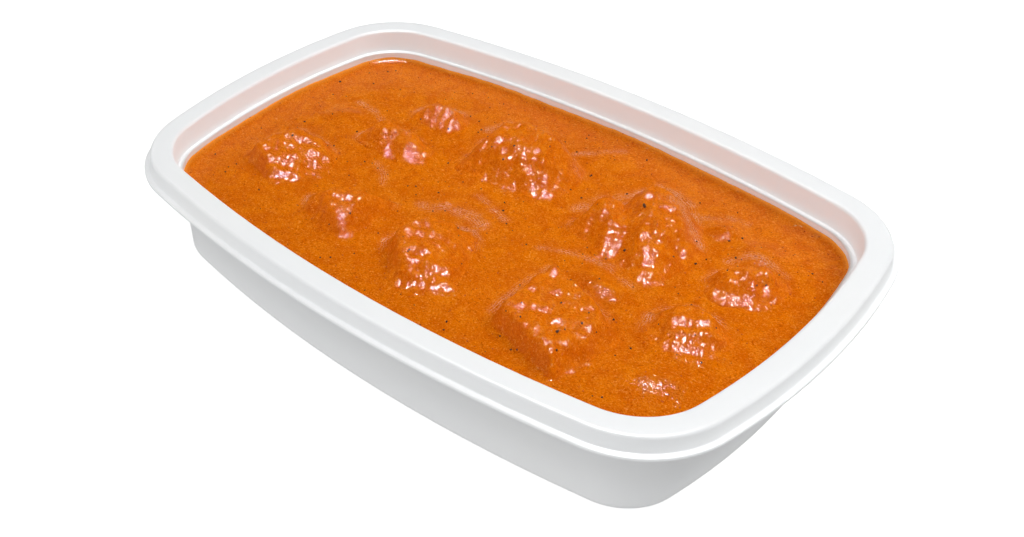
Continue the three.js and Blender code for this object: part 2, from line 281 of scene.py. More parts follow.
def mouldedPolypropylene():
    # white polypropylene, injection moulded and left as it comes from a fine-matt mould:
    # bright and even, with a soft satin sheen and a barely seen orange peel
    material, tree = newMaterial("moulded_polypropylene")
    place = addNode(tree, "ShaderNodeTexCoord")
    peel = addNode(tree, "ShaderNodeTexNoise", {"Scale": 1 / (1.4 * mm), "Detail": 3.0},
                   {"Vector": place.outputs["Object"]})
    # wall shade drifts a little with the thickness of the moulding
    drift = addNode(tree, "ShaderNodeTexNoise", {"Scale": 1 / (45 * mm), "Detail": 1.0},
                    {"Vector": place.outputs["Object"]})
    shade = addNode(tree, "ShaderNodeMix", {"data_type": "RGBA", 6: linearColour("#f1f3f4"),
                                            7: linearColour("#f5f6f7")},
                    {0: drift.outputs["Fac"]})
    rough = addNode(tree, "ShaderNodeMapRange", {"To Min": 0.42, "To Max": 0.52},
                    {"Value": peel.outputs["Fac"]})
    relief = addNode(tree, "ShaderNodeBump", {"Strength": 0.25, "Distance": 0.02 * mm},
                     {"Height": peel.outputs["Fac"]})
    # thin enough for the light outside to show in the walls
    plastic = addNode(tree, "ShaderNodeBsdfPrincipled",
                      {"IOR": 1.49, "Specular IOR Level": 0.35, "Subsurface Weight": 1.0,
                       "Subsurface Radius": (1, 1, 1), "Subsurface Scale": 0.6 * mm},
                      {"Base Color": shade.outputs[2], "Roughness": rough,
                       "Normal": relief.outputs["Normal"]})
    addNode(tree, "ShaderNodeOutputMaterial", {}, {"Surface": plastic})
    return material


def openTree(name, inputs):
    # a geometry tree with named inputs, and the identifiers by which a modifier sets them
    tree = bpy.data.node_groups.new(name, "GeometryNodeTree")
    sockets = {}
    for socket, kind in inputs.items():
        made = tree.interface.new_socket(socket, in_out="INPUT", socket_type="NodeSocket" + kind)
        sockets[socket] = made.identifier
    tree.interface.new_socket("Geometry", in_out="OUTPUT", socket_type="NodeSocketGeometry")
    return tree, sockets, addNode(tree, "NodeGroupInput").outputs


def closeTree(tree, shape, material):
    # plain mesh, shaded smooth, in the given material
    whole = addNode(tree, "GeometryNodeRealizeInstances", {}, {0: shape})
    smooth = addNode(tree, "GeometryNodeSetShadeSmooth", {}, {0: whole})
    painted = addNode(tree, "GeometryNodeSetMaterial", {},
                      {"Geometry": smooth, "Material": material})
    addNode(tree, "NodeGroupOutput", {}, {0: painted})


def sweptWallTree():
    # sweeps a profile round an outline of eight tangent arcs
    tree, sockets, given = openTree("swept_tray_wall", {
        "Profile": "Object", "Steps": "Int", "Half Length": "Float", "Half Width": "Float",
        "End Bow": "Float", "Side Bow": "Float", "Corner Radius": "Float", "Corner Centre": "Vector",
        "End Turn": "Float", "Side Turn": "Float", "Material": "Material"})
    circle = addNode(tree, "GeometryNodeCurvePrimitiveCircle", {"Radius": 1.0},
                     {"Resolution": given["Steps"]})
    spot = addNode(tree, "ShaderNodeSeparateXYZ", {},
                   {0: addNode(tree, "GeometryNodeInputPosition")})
    absoluteX = addNode(tree, "ShaderNodeMath", {"operation": "ABSOLUTE"}, {0: spot.outputs["X"]})
    absoluteY = addNode(tree, "ShaderNodeMath", {"operation": "ABSOLUTE"}, {0: spot.outputs["Y"]})
    turn = addNode(tree, "ShaderNodeMath", {"operation": "ARCTAN2"},
                   {0: absoluteY, 1: absoluteX})
    onEnd = addNode(tree, "ShaderNodeMath", {"operation": "LESS_THAN"},
                    {0: turn, 1: given["End Turn"]})
    onSide = addNode(tree, "ShaderNodeMath", {"operation": "GREATER_THAN"},
                     {0: turn, 1: given["Side Turn"]})
    corner = addNode(tree, "ShaderNodeSeparateXYZ", {}, {0: given["Corner Centre"]})
    endX = addNode(tree, "ShaderNodeMath", {"operation": "SUBTRACT"},
                   {0: given["Half Length"], 1: given["End Bow"]})
    sideY = addNode(tree, "ShaderNodeMath", {"operation": "SUBTRACT"},
                    {0: given["Half Width"], 1: given["Side Bow"]})
    # centre of the arc in this direction, with its radius as Z
    endArc = addNode(tree, "ShaderNodeCombineXYZ", {}, {"X": endX, "Z": given["End Bow"]})
    sideArc = addNode(tree, "ShaderNodeCombineXYZ", {}, {"Y": sideY, "Z": given["Side Bow"]})
    cornerArc = addNode(tree, "ShaderNodeCombineXYZ", {},
                        {"X": corner, "Y": corner.outputs["Y"], "Z": given["Corner Radius"]})
    notEnd = addNode(tree, "GeometryNodeSwitch", {"input_type": "VECTOR"},
                     {"Switch": onSide, "False": cornerArc, "True": sideArc})
    chosen = addNode(tree, "GeometryNodeSwitch", {"input_type": "VECTOR"},
                     {"Switch": onEnd, "False": notEnd, "True": endArc})
    arc = addNode(tree, "ShaderNodeSeparateXYZ", {}, {0: chosen})
    # along the arc, then from the first quarter to the one that the point is in
    place = []
    for axis, wave in (("X", "COSINE"), ("Y", "SINE")):
        share = addNode(tree, "ShaderNodeMath", {"operation": wave}, {0: turn})
        away = addNode(tree, "ShaderNodeMath", {"operation": "MULTIPLY_ADD"},
                       {0: arc.outputs["Z"], 1: share, 2: arc.outputs[axis]})
        sign = addNode(tree, "ShaderNodeMath", {"operation": "SIGN"}, {0: spot.outputs[axis]})
        signed = addNode(tree, "ShaderNodeMath", {"operation": "MULTIPLY"}, {0: away, 1: sign})
        place.append(signed)
    outline = addNode(tree, "ShaderNodeCombineXYZ", {}, {"X": place[0], "Y": place[1]})
    moved = addNode(tree, "GeometryNodeSetPosition", {},
                    {"Geometry": circle, "Position": outline})
    level = addNode(tree, "GeometryNodeSetCurveNormal", {"mode": "Z_UP"}, {0: moved})
    profile = addNode(tree, "GeometryNodeObjectInfo", {}, {"Object": given["Profile"]})
    wall = addNode(tree, "GeometryNodeCurveToMesh", {},
                   {"Curve": level, "Profile Curve": profile.outputs["Geometry"]})
    closeTree(tree, wall, given["Material"])
    return tree, sockets


def meshFromNodes(name, tree, sockets, values, start=None):
    # runs a node tree on an empty mesh, or on start, and keeps the plain mesh that comes out
    data = start or bpy.data.meshes.new(name + "_start")
    carrier = addObject(name + "_carrier", data)
    modifier = carrier.modifiers.new("shape", "NODES")
    modifier.node_group = tree
    for socket, value in values.items():
        modifier[sockets[socket]] = value
    evaluated = carrier.evaluated_get(bpy.context.evaluated_depsgraph_get())
    mesh = bpy.data.meshes.new_from_object(evaluated)
    mesh.name = name
    carrier.modifiers.remove(modifier)
    bpy.data.objects.remove(carrier)
    return addObject(name, mesh)


def addTray():
    plastic = mouldedPolypropylene()
    curve = bpy.data.curves.new("tray_profile", "CURVE")
    curve.dimensions = "3D"
    pairs = trayProfile()
    spline = curve.splines.new("POLY")
    spline.points.add(len(pairs) - 1)
    for point, (inset, z) in zip(spline.points, pairs):
        point.co = (-inset * mm, -z * mm, 0, 1)  # the sweep turns Y down
    profile = addObject("tray_profile", curve)
    sizes = {"Profile": profile, "Steps": tray["turnSteps"],
             "Half Length": tray["openHalfLength"] * mm, "Half Width": tray["openHalfWidth"] * mm,
             "End Bow": tray["endBow"] * mm, "Side Bow": tray["sideBow"] * mm,
             "Corner Radius": tray["cornerRadius"] * mm,
             "Corner Centre": (cornerCentre[0] * mm, cornerCentre[1] * mm, 0.0),
             "End Turn": endTurn, "Side Turn": sideTurn, "Material": plastic}
    piece = meshFromNodes("moulded_tray", *sweptWallTree(), sizes)
    bpy.data.objects.remove(profile)
    shape = bmesh.new()
    shape.from_mesh(piece.data)
    bmesh.ops.remove_doubles(shape, verts=shape.verts, dist=0.001 * mm)
    bmesh.ops.holes_fill(shape, edges=[e for e in shape.edges if e.is_boundary])
    bmesh.ops.recalc_face_normals(shape, faces=shape.faces)
    shape.to_mesh(piece.data)
    shape.free()
    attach(piece, "root")
    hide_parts("tray")
    lo = [min(v.co[i] for v in piece.data.vertices) / mm for i in range(3)]
    hi = [max(v.co[i] for v in piece.data.vertices) / mm for i in range(3)]
    print("tray:", len(piece.data.polygons), "faces, from", np.round(lo, 2), "to", np.round(hi, 2))


addTray()

# relief of the food
# a block is a cut piece of chicken: the corners of its outline at the sauce, counter-clockwise,
# the slopes of the sides that run on from them, the height of its top, and that top's tilt
# (direction it rises in, and how steeply)
chicken = {
    "front": [
        ([(32.5, -42), (61.5, -50.5), (66.8, -26), (58.5, -18.5), (32.5, -12)],
         (1.9, 1.4, 1.6, 3, 3), 6.8, (120, 0.04)),
    ],
    "right_of_centre": [
        ([(41, 5), (57.5, -0.5), (62.5, 24), (52, 38.5), (39, 41.5), (29, 34), (30, 18)],
         (0.95, 0.8, 1.2, 2.2, 2.6, 2.4, 0.9), 10, (100, 0.02)),
        ([(22, 9), (43, 3.5), (48, 16), (34, 30), (22.5, 26)],
         (0.8, 1, 1, 2.4, 2.6), 8.6, (120, 0.03)),
    ],
    "left_of_centre": [
        ([(-16, -33.5), (1.5, -50), (19, -39), (3.5, -10.5), (-11.5, -18.5)],
         (1.8, 0.75, 0.75, 1.7, 2), 7, (125, 0.06)),
    ],
    "back": [
        ([(-26.5, 12.5), (5, 13.5), (11.5, 20), (10, 37), (1, 41.5), (-20, 41.5), (-29, 33)],
         (0.95, 0.9, 0.95, 2, 2.6, 2.6, 1.6), 10, (95, 0.03)),
    ],
    "back_left": [
        ([(-65, 3), (-46, 0.3), (-33.5, 6.5), (-38.5, 16.5), (-62, 16.5)],
         (1.1, 0.9, 0.9, 1.8, 1.8), 6.2, (100, 0.04)),
    ],
    "back_corner": [
        ([(-59.5, 25), (-39, 27.5), (-39.5, 38), (-48, 40.5), (-59, 36)],
         (1, 1, 1, 1.6, 1.6), 5.8, (100, 0.03)),
    ],
    "left": [
        ([(-86.5, -29.5), (-64.5, -36.5), (-55.5, -14.5), (-63, -6), (-80, -6.5)],
         (1.6, 0.8, 1.2, 1.4, 1.8), 4.9, (160, 0.24)),
    ],
    "front_left": [
        ([(-50.5, -37), (-35, -45), (-25, -41.5), (-25, -15.5), (-50.5, -30.5)],
         (1.2, 1.2, 1.3, 2, 1.4), 6.6, (130, 0.04)),
    ],
    "right": [
        ([(68, 13), (73.5, 7.3), (85.5, 12.3), (91, 25), (86, 29.5), (76, 28.5), (68.5, 20.5)],
         (1.2, 0.9, 0.9, 1.6, 2, 2, 1.6), 6.3, (110, 0.02)),
    ],
    "front_right": [
        ([(70, -19), (80, -23), (90, -16), (92, -6), (85, 0.5), (74, 2.2), (66, -5), (66, -15)],
         (0.6, 0.6, 0.9, 1.4, 1.8, 1.8, 1.5, 1.1), 5.6, (120, 0.02)),
    ],
}
meat = {
    "edgeRounding": 1.1,   # between the top and the sides
    "cornerRounding": 2.0,  # between two sides
    "warp": 0.8,           # how far the cut edges wander
    "warpSpacing": 6.0,
    "lump": 0.30,          # coarse unevenness, crests about 5 mm apart
    "lumpSpacing": 3.6,
    "fibre": 0.08,         # finer, about 3 mm
    "fibreSpacing": 1.8,
    "grain": 0.10,         # pulp in the coat, crests about 1.3 mm apart
    "grainSpacing": 0.78,
    "pitch": 0.27,         # spacing of the mesh at the piece's edge
    "blend": 1.0,          # the relief comes in from this far below the sauce to as far above
    "nearby": 12.0,        # how far outside its edge a piece still lifts the sauce
    "underlap": 0.7,       # how far a piece goes on under the sauce's edge
    "tuck": (0.15, 0.6),   # how it bends down there, per mm and per square mm
    "sunkTurns": (8, 20, 35, 50, 65, 80),  # rings of the sunk part, in degrees down from the edge
    "sunkDepth": 10.0,
    "sunkDrop": 0.4,
    "sunkPoint": 10.5,     # depth of its lowest point
}
sauce = {
    "level": 29.6,
    "ripple": 0.25,
    "fillet": 0.8,         # radius of the skin of sauce where it climbs a piece
    "wallClimb": 1.5,      # meniscus on the tray's wall
    "wallClimbWidth": 0.85,
    "filmWidth": 0.5,      # the pale rim of thin sauce there
    "wave": 0.16,
    "waveSpacing": 5.5,
    "grain": 0.07,
    "grainSpacing": 1.2,
    "columns": 372,
    "rows": 238,
    "underlap": 1.2,       # how far the sauce goes on under a piece's edge
    "tuck": (0.12, 0.3),   # how it bends down there, per mm and per square mm
    "pocket": (0.8, 0.6),  # room above and below the sunk part of a piece
    "edgeSteps": [0.2] * 4 + [0.3] * 4,    # of the mesh next to a wall, for the meniscus
    "sideLevels": (20.0, 10.0),            # rings of the mesh down the wall
    "intoWall": 0.08,
}
# place, turn, half sizes and height of what is sunk and lifts the sauce
swells = [(47, -7.5, 0, 9, 4, 2.0), (73, 36, 10, 8, 5, 2.2), (60, 39, 0, 5.5, 4.5, 2.4),
          (15, -11, 20, 5, 4, 1.2), (2, -6, 20, 5, 4, 1.0), (81, -30, 25, 9, 5, 1.9),
          (-77, 12, 20, 7, 5, 1.6)]

# folds in the skin of the sauce, with a painted sheen on their ridges: the line they follow, their
# strength and the band's width
folds = [
    ([(-33, 38), (-30, 46), (-20, 49), (-10, 46), (0, 40), (8, 35)], 0.9, 1.8),
    ([(-2, 45), (5, 52), (10, 57)], 0.8, 1.2),
    ([(18, 20), (21, 31), (27, 38), (30, 47), (36, 48), (44, 45), (50, 38)], 0.9, 1.8),
    ([(45, 33), (52, 31), (58, 28)], 1.0, 2.2),
    ([(50, 42), (56, 47), (62, 48)], 0.8, 1.4),
    ([(68, 28), (72, 33), (76, 34), (84, 32)], 0.8, 1.4),
    ([(30, -10), (29, -25), (30, -38)], 0.6, 1.2),
    ([(-88, -20), (-86, -12), (-82, -5)], 0.8, 1.4),
    ([(-80, 22), (-71, 21), (-62, 17)], 0.8, 1.2),
    ([(-20, -12), (-12, -6), (-3, -5), (2, -8)], 0.9, 2.2),
    ([(-10, 5), (-2, 2), (5, 0)], 0.7, 1.4),
    ([(-48, -3), (-43, -5), (-38, -10)], 0.7, 1.4),
    ([(22, -4), (32, 1), (44, 2), (54, -2)], 0.7, 1.2),
]
wrinkle = {
    "spacing": 0.85,       # ripples side by side along a fold
    "wander": 0.45,
    "backBand": 1.5,       # folds with a painted sheen that hug the back of each piece, and how far outside it they lie
    "backPlace": 0.7,
    "away": 131.0,         # direction they face, away from the camera, where the painted sheen goes
    "wanderSpacing": 4.0,
    "fadeSpacing": 5.0,    # between the strong and the weak stretches of a fold
    "swing": 15.0,         # how far the streaks bend the ripples
    # how pale the painted sheen makes the ridges of the folds
    "painted_sheen_share": 0.9,
    "height": 0.12,
}

gridDirections = np.random.default_rng(11).uniform(0, 2 * math.pi, 4096)


def gradientNoise(x, y, spacing, seed=0):
    # smooth noise in -1..1 with features about spacing apart
    x, y = np.asarray(x) / spacing + 31.7 * seed, np.asarray(y) / spacing - 17.3 * seed
    i, j = np.floor(x).astype(int), np.floor(y).astype(int)
    fx, fy = x - i, y - j
    u, v = fx * fx * fx * (fx * (6 * fx - 15) + 10), fy * fy * fy * (fy * (6 * fy - 15) + 10)

    def corner(di, dj):
        a = gridDirections[((i + di) * 73 + (j + dj) * 157 + seed * 911) % 4096]
        return np.cos(a) * (fx - di) + np.sin(a) * (fy - dj)

    low = corner(0, 0) * (1 - u) + corner(1, 0) * u
    high = corner(0, 1) * (1 - u) + corner(1, 1) * u
    return 1.5 * (low * (1 - v) + high * v)


def softHighest(a, b, rounding):
    return rounding * np.logaddexp(a / rounding, b / rounding)


def softLowest(heights, rounding):
    return -rounding * np.log(sum(np.exp(np.clip(-h / rounding, -60, 60)) for h in heights))


def blockHeight(block, x, y):
    corners, slopes, high, (uphill, rise) = block
    sides = []
    for (ax, ay), (bx, by), slope in zip(corners, corners[1:] + corners[:1], slopes):
        inwards = ((bx - ax) * (y - ay) - (by - ay) * (x - ax)) / math.hypot(bx - ax, by - ay)
        sides.append(slope * inwards)
    mx, my = np.mean(corners, axis=0)
    turn = math.radians(uphill)
    top = high + rise * ((x - mx) * math.cos(turn) + (y - my) * math.sin(turn))
    return softLowest([top, softLowest(sides, meat["cornerRounding"])], meat["edgeRounding"])


def lumps(x, y):
    # low lumps, the same as those of the solids
    coarse = np.sin(0.62 * x + 1.3 * np.sin(0.31 * y)) * np.sin(0.55 * y + 0.7)
    fine = np.sin(1.15 * x - 0.4 * y + 2) * np.sin(0.95 * y + 0.5 * x)
    return 0.45 * (coarse + 0.6 * fine)


def pieceTop(blocks, x, y):
    # height of a piece of chicken above the sauce's level, below 0 outside it
    wx = x + meat["warp"] * gradientNoise(x, y, meat["warpSpacing"], 1)
    wy = y + meat["warp"] * gradientNoise(x, y, meat["warpSpacing"], 2)
    height = blockHeight(blocks[0], wx, wy)
    for block in blocks[1:]:
        height = softHighest(height, blockHeight(block, wx, wy), meat["edgeRounding"])
    return height + lumps(x, y)


def meatRelief(x, y):
    # lumps and short fibres of the meat under its coat of sauce
    bumps = meat["lump"] * gradientNoise(x, y, meat["lumpSpacing"], 3)
    fibres = meat["fibre"] * (1 - 2 * np.abs(gradientNoise(x, y, meat["fibreSpacing"], 4)))
    return bumps + fibres + meat["grain"] * gradientNoise(x, y, meat["grainSpacing"], 5)


def wallDistance(x, y):
    # distance inwards from the tray's wall at the sauce's level
    ax, ay = np.abs(x), np.abs(y)
    inset = insideWall(sauce["level"])
    end = tray["endBow"] - np.hypot(ax - (tray["openHalfLength"] - tray["endBow"]), ay)
    side = tray["sideBow"] - np.hypot(ax, ay - (tray["openHalfWidth"] - tray["sideBow"]))
    corner = tray["cornerRadius"] - np.hypot(ax - cornerCentre[0], ay - cornerCentre[1])
    turn = np.arctan2(ay - cornerCentre[1], ax - cornerCentre[0])
    patch = cornerCentre - 20  # the corner's arc counts only from here outwards
    inCorner = (ax > patch[0]) & (ay > patch[1]) & (turn > endTurn) & (turn < sideTurn)
    return np.where(inCorner, corner, np.minimum(end, side)) - inset


outlines = {}  # the middle and the edge of each piece, kept as the pieces are made


def fromMiddle(name, x, y):
    # distance from the middle of a piece, how far its edge is in that direction, and the direction
    mx, my, angles, reach = outlines[name]
    distance, turn = np.hypot(x - mx, y - my), np.arctan2(y - my, x - mx) % (2 * math.pi)
    edge = np.interp(turn, np.append(angles, 2 * math.pi), np.append(reach, reach[0]))
    return distance, edge, turn


def foldField(x, y):
    # distance across the nearest fold, and how strong it is there, for the sauce's skin and its painted
    # sheen
    across, strength = np.zeros_like(x), np.zeros_like(x)
    for line, high, band in folds:
        ends = np.array(line, float)
        near = ((x > ends[:, 0].min() - 3 * band) & (x < ends[:, 0].max() + 3 * band)
                & (y > ends[:, 1].min() - 3 * band) & (y < ends[:, 1].max() + 3 * band))
        px, py = x[near], y[near]
        best = np.full(px.shape, 1e9)
        side = np.zeros(px.shape)
        for (ax, ay), (bx, by) in zip(ends[:-1], ends[1:]):
            dx, dy = bx - ax, by - ay
            along = np.clip(((px - ax) * dx + (py - ay) * dy) / (dx * dx + dy * dy), 0, 1)
            away = np.hypot(px - ax - along * dx, py - ay - along * dy)
            turn = np.sign(dx * (py - ay) - dy * (px - ax))
            side = np.where(away < best, turn * away, side)
            best = np.minimum(best, away)
        share = high * np.exp(-(best / band) ** 2)
        stronger = share > strength[near]
        across[near] = np.where(stronger, side, across[near])
        strength[near] = np.maximum(share, strength[near])
    for name in outlines:
        distance, edge, turn = fromMiddle(name, x, y)
        side = distance - edge - wrinkle["backPlace"]
        # only on the side of each piece that faces away from the camera, where the painted sheen goes
        facing = np.clip(np.cos(turn - math.radians(wrinkle["away"])) * 1.6 - 0.2, 0, 1)
        share = facing * np.exp(-(side / wrinkle["backBand"]) ** 2)
        stronger = share > strength
        across = np.where(stronger, side, across)
        strength = np.maximum(share, strength)
    across = across + wrinkle["wander"] * gradientNoise(x, y, wrinkle["wanderSpacing"], 8)
    fade = 0.7 + 0.9 * gradientNoise(x, y, wrinkle["fadeSpacing"], 9)
    return across, strength * np.clip(fade, 0, 1)


def keepValues(piece, name, values):
    # stores a value on each point of the mesh, for the material
    padded = np.zeros(len(piece.data.vertices))
    padded[:len(values)] = values
    piece.data.attributes.new(name, "FLOAT", "POINT").data.foreach_set("value", padded)


def keepFolds(piece, x, y):
    across, strength = foldField(x, y)
    keepValues(piece, "fold_across", across)
    keepValues(piece, "fold_strength", strength)


def sauceTop(x, y):
    # height of the open sauce above its level
    height = sauce["ripple"] * np.sin(0.11 * x + 0.6) * np.sin(0.13 * y + 0.2)
    for sx, sy, turn, long, wide, high in swells:
        c, s = math.cos(math.radians(turn)), math.sin(math.radians(turn))
        u, v = ((x - sx) * c + (y - sy) * s) / long, ((y - sy) * c - (x - sx) * s) / wide
        height = height + high * np.exp(-(u * u + v * v))
    height = height + sauce["wave"] * gradientNoise(x, y, sauce["waveSpacing"], 6)
    height = height + sauce["grain"] * gradientNoise(x, y, sauce["grainSpacing"], 7)
    away = np.maximum(wallDistance(x, y), 0)
    return height + sauce["wallClimb"] * np.exp(-away / sauce["wallClimbWidth"])


def foodTop(blocks, x, y):
    # one skin over the sauce and the pieces given
    height = sauceTop(x, y)
    for piece in blocks:
        bare = pieceTop(piece, x, y)
        out = np.clip((bare - height + meat["blend"]) / (2 * meat["blend"]), 0, 1)
        out = out * out * (3 - 2 * out)
        height = softHighest(height, bare + out * meatRelief(x, y), sauce["fillet"])
    return height


def reachOf(blocks, angles):
    # middle of a piece, and how far its edge is from there in each direction
    mx, my = np.mean([np.mean(block[0], axis=0) for block in blocks], axis=0)
    farthest, halvings = 45.0, 26
    near, far = np.zeros_like(angles), np.full_like(angles, farthest)
    for _ in range(halvings):
        r = (near + far) / 2
        x, y = mx + r * np.cos(angles), my + r * np.sin(angles)
        out = pieceTop(blocks, x, y) > sauceTop(x, y)
        near, far = np.where(out, r, near), np.where(out, far, r)
    return mx, my, near


def smoothedRing(values, spread):
    # mean over neighbours round a closed ring
    kernel = np.hanning(2 * spread + 3)[1:-1]
    wrapped = np.concatenate([values[-spread:], values, values[:spread]])
    return np.convolve(wrapped, kernel / kernel.sum(), "valid")


# sauce and meat finishes
sauceLook = {
    "deep": "#d96500",
    "body": "#e77701",
    "bright": "#fcb040",
    "oil": "#b44400",
    # steep sides: redder thin sauce, and darker as painted shade
    "steep_thin_and_shade": "#c85c00",
    "cream": "#ffb458",
    # pale colour of the painted sheen on the folds
    "painted_sheen": "#ffbe90",
    "film": "#ffa840",
    "creamSpacing": 6.0,
    "streakSpacing": 1.7,
    "pulpSpacing": 1.4,
    "pulp": 0.22,          # heights of the relief
    "grainSpacing": 0.5,
    "grain": 0.04,
}
meatLook = sauceLook | {
    "deep": "#dd6600",
    "body": "#ed7b03",
    "bright": "#ffb040",
    "oil": "#b84000",
    # steep sides: redder thin sauce, and darker as painted shade
    "steep_thin_and_shade": "#c45800",
    "creamSpacing": 4.0,
    "streakSpacing": 1.5,
    "pulpSpacing": 1.2,
    "pulp": 0.23,
}
# colours laid over each other: the pattern that each follows, where it begins and where it is
# full, how much it then covers, and its name in the look
colourLayers = [
    ("streak", 0.44, 0.30, 0.8, "oil"),      # thin streaks, redder
    ("grain", 0.54, 0.78, 0.4, "bright"),    # pulp
    ("grain", 0.45, 0.22, 0.5, "oil"),
    ("level", 0.90, 0.50, 0.4, "steep_thin_and_shade"),     # steep sides: redder where the sauce runs thin, and darker as painted shade
    ("streak", 0.57, 0.70, 0.4, "cream"),   # cream that has not quite blended in
]


def simmeredSauce(name, look):
    # tomato, cream and ground spice, simmered to a thick sauce: opaque orange with a soft grain,
    # redder where oil gathers, under a film of oil that breaks the light into small glints
    material, tree = newMaterial(name)
    place = addNode(tree, "ShaderNodeTexCoord").outputs["Object"]
    pattern = {}
    for kind, detail, distortion in (("cream", 5.0, 0.8), ("streak", 3.0, 3.4), ("grain", 1.0, 0.6),
                                     ("pulp", 1.0, 1.0)):
        noise = addNode(tree, "ShaderNodeTexNoise",
                        {"Scale": 1 / (look[kind + "Spacing"] * mm), "Detail": detail,
                         "Distortion": distortion}, {"Vector": place})
        pattern[kind] = noise.outputs["Fac"]
    normal = addNode(tree, "ShaderNodeNewGeometry").outputs["Normal"]
    # how level the face is, which sets the painted shade on steep sides
    pattern["level"] = addNode(tree, "ShaderNodeSeparateXYZ", {}, {0: normal}).outputs["Z"]
    blotch = addNode(tree, "ShaderNodeMapRange", {"From Min": 0.35, "From Max": 0.65},
                     {"Value": pattern["cream"]})
    base = addNode(tree, "ShaderNodeMix", {"data_type": "RGBA", 6: linearColour(look["deep"]),
                                           7: linearColour(look["body"])},
                   {0: blotch})
    colour = base.outputs[2]
    for kind, low, high, most, tint in colourLayers:
        share = addNode(tree, "ShaderNodeMapRange",
                        {"From Min": low, "From Max": high, "To Max": most},
                        {"Value": pattern[kind]})
        layer = addNode(tree, "ShaderNodeMix", {"data_type": "RGBA", 7: linearColour(look[tint])},
                        {0: share, 6: colour})
        colour = layer.outputs[2]
    # painted sheen: pale ridges of skin, side by side along each fold
    across = addNode(tree, "ShaderNodeAttribute", {"attribute_name": "fold_across"})
    strength = addNode(tree, "ShaderNodeAttribute", {"attribute_name": "fold_strength"})
    turns = addNode(tree, "ShaderNodeMath", {"operation": "MULTIPLY",
                                             1: 2 * math.pi / wrinkle["spacing"]},
                    {0: across.outputs["Fac"]})
    swing = addNode(tree, "ShaderNodeMath", {"operation": "MULTIPLY_ADD", 1: wrinkle["swing"]},
                    {0: pattern["streak"], 2: turns})
    ripple = addNode(tree, "ShaderNodeMath", {"operation": "SINE"}, {0: swing})
    crest = addNode(tree, "ShaderNodeMapRange", {"From Min": 0.1, "From Max": 0.9},
                    {"Value": ripple})
    ridge = addNode(tree, "ShaderNodeMath", {"operation": "MULTIPLY"},
                    {0: crest, 1: strength.outputs["Fac"]})
    pale = addNode(tree, "ShaderNodeMath", {"operation": "MULTIPLY", 1: wrinkle["painted_sheen_share"]},
                   {0: ridge})
    # the painted sheen lightens the crests of the folds
    sheened = addNode(tree, "ShaderNodeMix", {"data_type": "RGBA", 7: linearColour(look["painted_sheen"])},
                      {0: pale, 6: colour})
    # a thin film of sauce on the tray's wall lets the white through
    film = addNode(tree, "ShaderNodeAttribute", {"attribute_name": "film"})
    filmed = addNode(tree, "ShaderNodeMix", {"data_type": "RGBA", 7: linearColour(look["film"])},
                     {0: film.outputs["Fac"], 6: sheened.outputs[2]})
    folded = addNode(tree, "ShaderNodeBump", {"Strength": 1.0, "Distance": wrinkle["height"] * mm},
                     {"Height": ridge})
    relief = addNode(tree, "ShaderNodeBump", {"Strength": 1.0, "Distance": look["pulp"] * mm},
                     {"Height": pattern["pulp"], "Normal": folded.outputs["Normal"]})
    fine = addNode(tree, "ShaderNodeBump", {"Strength": 1.0, "Distance": look["grain"] * mm},
                   {"Height": pattern["grain"], "Normal": relief.outputs["Normal"]})
    wet = addNode(tree, "ShaderNodeBsdfPrincipled",
                  {"Specular IOR Level": 0.0, "Roughness": 0.6, "Coat Weight": 0.35,
                   "Coat Roughness": 0.06, "Coat IOR": 1.38},
                  {"Base Color": filmed.outputs[2], "Normal": fine.outputs["Normal"],
                   "Coat Normal": fine.outputs["Normal"]})
    addNode(tree, "ShaderNodeOutputMaterial", {}, {"Surface": wet})
    return material


sauceMaterial = simmeredSauce("simmered_masala_sauce", sauceLook)
meatMaterial = simmeredSauce("sauce_coated_chicken", meatLook)

# pieces of chicken
coarse = 1


def addChicken(name, blocks):
    widest = reachOf(blocks, np.arange(60) * math.pi / 30)[2].max()
    count = int(2 * math.pi * widest / meat["pitch"]) // coarse
    angles = np.arange(count) * 2 * math.pi / count
    mx, my, reach = reachOf(blocks, angles)
    reach = smoothedRing(reach, 3)
    outlines[name] = (mx, my, angles, reach)
    over = meat["underlap"]
    steps = int(widest / meat["pitch"]) // coarse
    distances = [reach * share for share in np.linspace(0, 1, steps)[1:]]
    distances += [reach + over * f for f in (0.25, 0.5, 0.75, 1.0)]
    rings = []
    for r in distances:
        x, y = mx + r * np.cos(angles), my + r * np.sin(angles)
        under = np.maximum(r - reach, 0)
        bend = meat["tuck"][0] * under + meat["tuck"][1] * under ** 2
        rings.append((x, y, foodTop([blocks], x, y) - bend))
    edge = reach + over
    for sink in np.radians(meat["sunkTurns"]):
        r = edge * math.cos(sink)
        x, y = mx + r * np.cos(angles), my + r * np.sin(angles)
        depth = meat["sunkDepth"] * math.sin(sink) + meat["sunkDrop"]
        rings.append((x, y, np.full_like(x, -depth)))
    top = float(foodTop([blocks], np.array([mx]), np.array([my]))[0])
    points = [(mx, my, sauce["level"] + top)]
    for x, y, z in rings:
        points += list(zip(x, y, sauce["level"] + z))
    points.append((mx, my, sauce["level"] - meat["sunkPoint"]))
    faces = []
    last = len(points) - 1
    for i in range(count):
        j = (i + 1) % count
        faces.append((0, 1 + i, 1 + j))
        for k in range(len(rings) - 1):
            a, b = 1 + k * count, 1 + (k + 1) * count
            faces.append((a + i, b + i, b + j, a + j))
        end = 1 + (len(rings) - 1) * count
        faces.append((last, end + j, end + i))
    piece = newPiece("chicken_" + name + "_meat", points, faces, meatMaterial)
    places = np.array(points)
    keepFolds(piece, places[:, 0], places[:, 1])
    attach(piece, "root")
    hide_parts("chicken_" + name)


for pieceName, pieceBlocks in chicken.items():
    addChicken(pieceName, pieceBlocks)
print("chicken:", len(chicken), "pieces")


